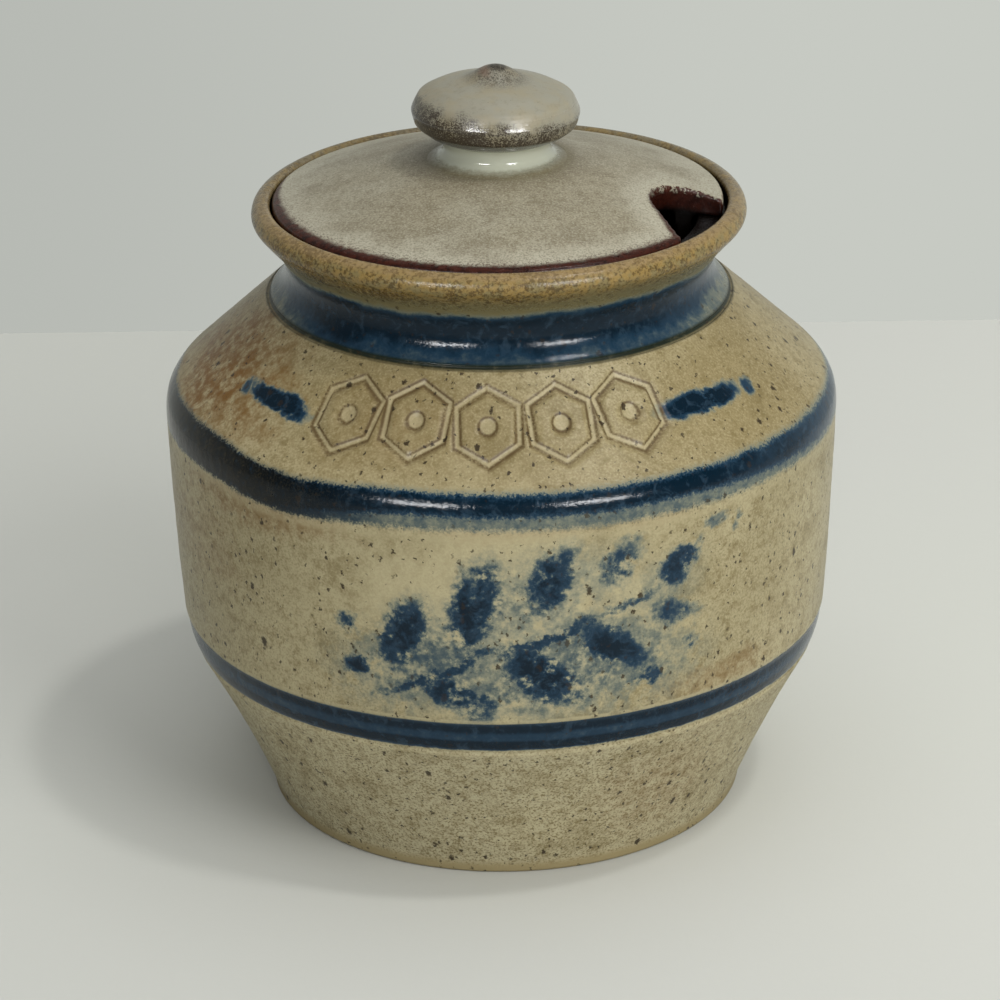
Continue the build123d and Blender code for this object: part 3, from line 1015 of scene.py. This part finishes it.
class HONEYPOT_OT_pot(bpy.types.Operator):
    """Turn, stamp and glaze the pot"""

    bl_idname = "honey_pot.pot"
    bl_label = "Pot"

    def execute(self, context):
        settings = context.scene.honey_pot
        shape = settings.pot
        points = softened(seam_outline("pot"), depth=0.13, spacing=pot_spacing)
        path = along(points)
        crest = float(path[np.argmax(points[:, 1])])
        foot = float(path[np.argmax((points[:, 0] > 39.0) & (path > 30))])
        glaze = pot_glaze(settings.glazes, shape, crest, foot)
        pot = turned("pot_body", points, glaze, shape, **{
            "Columns": shape.columns, "Crowding to the Front": shape.crowding,
            "Wheel Marks": shape.wheel_marks, "Out of Round": shape.out_of_round,
            "Stamp Depth": shape.stamp_depth, "Seed": 4.0,
        })
        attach(pot, "pot")
        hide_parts("pot")
        return {"FINISHED"}


class HONEYPOT_OT_lid(bpy.types.Operator):
    """Turn the lid, cut its spoon notch and glaze it"""

    bl_idname = "honey_pot.lid"
    bl_label = "Lid"

    def execute(self, context):
        settings = context.scene.honey_pot
        shape = settings.lid
        glaze = lid_glaze(settings.glazes, shape)
        points = softened(self.outline(shape), depth=0.2, spacing=lambda spot: 0.6)
        lid = turned("lid_blank", points, glaze, settings.pot, **{
            "Columns": 240, "Wheel Marks": 0.1 * MM, "Out of Round": 0.1 * MM, "Seed": 9.0,
        })
        cutter = self.notch_cutter(shape)
        cut = lid.modifiers.new("Notch", "BOOLEAN")
        cut.operation, cut.solver, cut.object = "DIFFERENCE", "EXACT", cutter
        skin = lid.modifiers.new("Skin", "REMESH")
        skin.mode, skin.voxel_size = "VOXEL", shape.grain
        ease = lid.modifiers.new("Ease", "SMOOTH")
        ease.factor, ease.iterations = 0.5, 6
        lid = frozen(lid, "lid_dome")
        bpy.data.objects.remove(cutter)
        lid.data.materials.clear()
        lid.data.materials.append(glaze)
        lid.data.polygons.foreach_set("use_smooth", [True] * len(lid.data.polygons))
        lid.data.transform(Matrix.Translation((-shape.seat_left, 0, 0)))
        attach(lid, "lid")
        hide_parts("lid")
        return {"FINISHED"}

    def outline(self, shape):
        """The lid's outline before the notch is cut, as (radius, height) in millimetres."""
        low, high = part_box("lid")
        bottom, top, radius = low.z / MM, high.z / MM, shape.lid_radius / MM
        neck = 10.6
        edge_top = top - 6.6
        ledge = edge_top - shape.edge_thickness / MM
        under = top - shape.wall / MM
        return np.array([
            (0, under), (neck, under), (28.5, 100.3), (28.9, bottom), (31.0, bottom), (31.4, ledge),
            (radius - 0.7, ledge), (radius, ledge + 0.7), (radius, edge_top - 0.35),
            (radius - 0.35, edge_top), (radius - 1.2, edge_top + 0.1), (27.1, 105.13),
            (18.9, 107.33), (neck, top), (0, top),
        ], float)

    def notch_cutter(self, shape):
        """A prism with the notch's outline: round on one side, slanting on the other."""
        out, shift, radius = shape.notch_out, shape.notch_shift, shape.notch_radius
        turns = [math.radians(degrees) for degrees in range(225, -1, -5)]
        corners = [(out + radius * math.cos(t), shift + radius * math.sin(t)) for t in turns]
        beyond_edge, slant = 0.075, 0.04
        corners.append((beyond_edge, shift))
        corners.append((corners[0][0] + slant, corners[0][1] - slant))
        below, tall = 0.09, 0.03
        build = bmesh.new()
        face = build.faces.new([build.verts.new((x, y, below)) for x, y in corners])
        raised = bmesh.ops.extrude_face_region(build, geom=[face])["geom"]
        raised = [part for part in raised if isinstance(part, bmesh.types.BMVert)]
        bmesh.ops.translate(build, vec=(0, 0, tall), verts=raised)
        turn = Matrix.Rotation(shape.notch_angle, 3, "Z")
        bmesh.ops.rotate(build, cent=(0, 0, 0), matrix=turn, verts=build.verts)
        bmesh.ops.recalc_face_normals(build, faces=build.faces)
        mesh = bpy.data.meshes.new("notch_cutter")
        build.to_mesh(mesh)
        build.free()
        return linked("notch_cutter", mesh)


# The twist of clay on top of the knob, as (radius, height) in millimetres.
TWIST = (
    (5.3, 122.03), (4.6, 122.3), (4.0, 122.58), (3.4, 122.96), (2.6, 123.48), (1.9, 123.84),
    (1.2, 124.07), (0.6, 124.18), (0.0, 124.22),
)


class HONEYPOT_OT_knob(bpy.types.Operator):
    """Turn and glaze the knob"""

    bl_idname = "honey_pot.knob"
    bl_label = "Knob"

    def execute(self, context):
        settings = context.scene.honey_pot
        shape = settings.knob
        points = softened(self.outline(), depth=0.6, spacing=lambda spot: 0.3)
        glaze = knob_glaze(settings.glazes)
        knob = turned("knob_body", points, glaze, settings.pot, **{
            "Columns": shape.columns, "Wheel Marks": 0.08 * MM, "Out of Round": 0.25 * MM,
            "Seed": 13.0,
        })
        spots = np.empty(len(knob.data.vertices) * 3)
        knob.data.vertices.foreach_get("co", spots)
        spots = spots.reshape(-1, 3)
        head = np.clip((spots[:, 2] / MM - 111.5) / 3, 0, 1)
        head = head * head * (3 - 2 * head)
        tip = np.clip((spots[:, 2] / MM - 121.6) / 1.2, 0, 1)
        pivot = 0.1169
        head_left = 0.12 * MM
        spots[:, 2] -= head * spots[:, 0] * math.sin(shape.lean)
        spots[:, 0] += head * (spots[:, 2] - pivot) * math.sin(shape.lean) - tip * shape.tip_aside
        spots[:, 0] -= settings.lid.seat_left + head * head_left
        knob.data.vertices.foreach_set("co", spots.ravel())
        knob.data.update()
        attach(knob, "lid")
        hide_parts("lid_knob")
        return {"FINISHED"}

    def outline(self):
        """The CAD knob's outline, with a plumper head, a spread foot and a twist on top."""
        outline = seam_outline("lid_knob")
        outline[0] = (0.0, 108.2)
        outline[1] = (11.3, 108.6)
        outline = np.insert(outline, 2, [(11.5, 108.7), (10.7, 109.02)], axis=0)
        widest, half_head, twist_radius = 13.5, 5.7, 6.0
        level = outline[np.argmax(outline[:, 0]), 1]
        above = outline[:, 1] - level
        plump = np.sin(np.clip(np.abs(above) / half_head, 0, 1) * math.pi) * 0.36 + 0.08
        outline[:, 0] += plump * np.clip(outline[:, 0] / widest, 0, 1) * (above > -5.5)
        return np.concatenate([outline[(outline[:, 0] > twist_radius) | (above < 0)], TWIST])


# The lamps: (name, direction from the pot, distance, size, colour, the rays that miss it).
LAMPS = (
    ("key", (0.33, -0.2, 0.92), 1.5, (0.11, 0.11), (1.0, 0.99, 0.97), None),
    ("glint_right", (0.475, -0.79, 0.39), 2.0, (0.66, 0.24), (1.0, 1.0, 1.0), "diffuse"),
    ("glint_left", (-0.43, -0.81, 0.394), 2.0, (0.7, 0.22), (1.0, 1.0, 1.0), "diffuse"),
    ("fill", (0.55, -0.62, 0.56), 1.8, (0.9, 0.9), (1.0, 1.0, 0.99), "glossy"),
    ("ceiling", (0.15, -0.15, 1.0), 1.7, (1.7, 1.7), (1.0, 1.0, 1.0), "glossy"),
    ("front", (0.1, -1.0, 0.3), 2.0, (0.8, 0.8), (1.0, 1.0, 1.0), "glossy"),
)
LAMPS_AIM = Vector((0, 0, 0.06))
CAMERA_AIM = Vector((-0.00048, 0, 0.04891))


class HONEYPOT_OT_studio(bpy.types.Operator):
    """Lay the table, light it and place the camera"""

    bl_idname = "honey_pot.studio"
    bl_label = "Table, Lights and Camera"

    def execute(self, context):
        scene = context.scene
        studio = scene.honey_pot.studio
        self.lay_table(studio)
        for name, *lamp in LAMPS:
            self.hang_lamp(name, getattr(studio, name), *lamp)
        scene.world = self.room(studio)
        scene.view_settings.view_transform = "Standard"
        scene.camera = self.camera(studio)
        return {"FINISHED"}

    def lay_table(self, studio):
        mesh = bpy.data.meshes.new("table")
        far, back = 2, studio.table_depth
        corners = [(-far, -far, 0), (far, -far, 0), (far, back, 0), (-far, back, 0)]
        mesh.from_pydata(corners, [], [(0, 1, 2, 3)])
        mesh.materials.append(table_paint(studio.table))
        table = linked("table", mesh)

    def hang_lamp(self, name, power, direction, distance, size, colour, missed):
        """A flat lamp that faces the pot's middle from a direction."""
        light = bpy.data.lights.new(name, "AREA")
        light.shape, light.energy, light.color = "RECTANGLE", power, colour
        light.size, light.size_y = size
        lamp = linked(name, light)
        line = Vector(direction).normalized()
        turn = line.to_track_quat("Z", "Y").to_matrix().to_4x4()
        lamp.matrix_world = Matrix.Translation(LAMPS_AIM + line * distance) @ turn
        lamp.visible_diffuse = missed != "diffuse"
        lamp.visible_glossy = missed != "glossy"

    def room(self, studio):
        """Soft light all round, and a backdrop for what looks straight at it, with painted shade
        towards the left.
        """
        world = bpy.data.worlds.new("room")
        world.use_nodes = True
        sky = world.node_tree
        aside, ahead, upward = split(made(sky, "ShaderNodeTexCoord", out="Generated"))
        dim = fade(upward, 0.05, 0.9, studio.sky * 0.5, studio.sky * 1.3)
        dim = dim * fade(aside, -0.9, 0.5, 0.7, 1.1) * fade(ahead, 0.1, 0.7, 1.0, 1.7)
        rays = put(sky, "ShaderNodeLightPath").outputs
        kinds = ("Is Camera Ray", "Is Glossy Ray", "Is Transmission Ray")
        seen = largest(Field(rays[kind]) for kind in kinds)
        # Painted shade: the backdrop darkens towards the left.
        backdrop = tint(fade(aside, 0.1, -0.14), studio.backdrop, studio.backdrop_painted_shade)
        bright = fade(upward, 0.15, 0.6, 1.0, 0.4) * fade(ahead, -0.2, 0.3, 0.4, 1.0)
        glow = sky.nodes["Background"].inputs
        feed(glow["Color"], tint(seen, (0.98, 1.0, 1.0), backdrop))
        feed(glow["Strength"], lerp(seen, dim, bright))
        return world

    def camera(self, studio):
        camera = linked("camera", bpy.data.cameras.new("camera"))
        camera.data.lens = studio.lens
        camera.data.sensor_width = 36.0
        camera.data.clip_start = 0.01
        line = Vector((0, -math.cos(studio.elevation), math.sin(studio.elevation)))
        turn = (-line).to_track_quat("-Z", "Y").to_matrix().to_4x4()
        turn = turn @ Matrix.Rotation(studio.roll, 4, "Z")
        camera.matrix_world = Matrix.Translation(CAMERA_AIM + line * studio.distance) @ turn
        return camera


class HONEYPOT_PT_panel(bpy.types.Panel):
    """Lists the pot's pieces and their settings"""

    bl_idname = "HONEYPOT_PT_panel"
    bl_label = "Honey Pot"
    bl_space_type = "VIEW_3D"
    bl_region_type = "UI"
    bl_category = "Honey Pot"

    def draw(self, context):
        settings = context.scene.honey_pot
        for operator in OPERATORS:
            self.layout.operator(operator.bl_idname)
        for group in (settings.pot, settings.lid, settings.knob, settings.glazes, settings.studio):
            box = self.layout.box()
            box.label(text=type(group).__doc__)
            for prop in type(group).__annotations__:
                box.prop(group, prop)


OPERATORS = (HONEYPOT_OT_pot, HONEYPOT_OT_lid, HONEYPOT_OT_knob, HONEYPOT_OT_studio)
GROUPS = (PotShape, LidShape, KnobShape, Glazes, Studio, HoneyPotSettings)
CLASSES = (*GROUPS, *OPERATORS, HONEYPOT_PT_panel)


def register():
    for cls in CLASSES:
        bpy.utils.register_class(cls)
    bpy.types.Scene.honey_pot = bpy.props.PointerProperty(type=HoneyPotSettings)


def unregister():
    del bpy.types.Scene.honey_pot
    for cls in reversed(CLASSES):
        bpy.utils.unregister_class(cls)


def main():
    register()
    for operator in OPERATORS:
        group, name = operator.bl_idname.split(".")
        getattr(getattr(bpy.ops, group), name)()


if __name__ == "__main__":
    main()
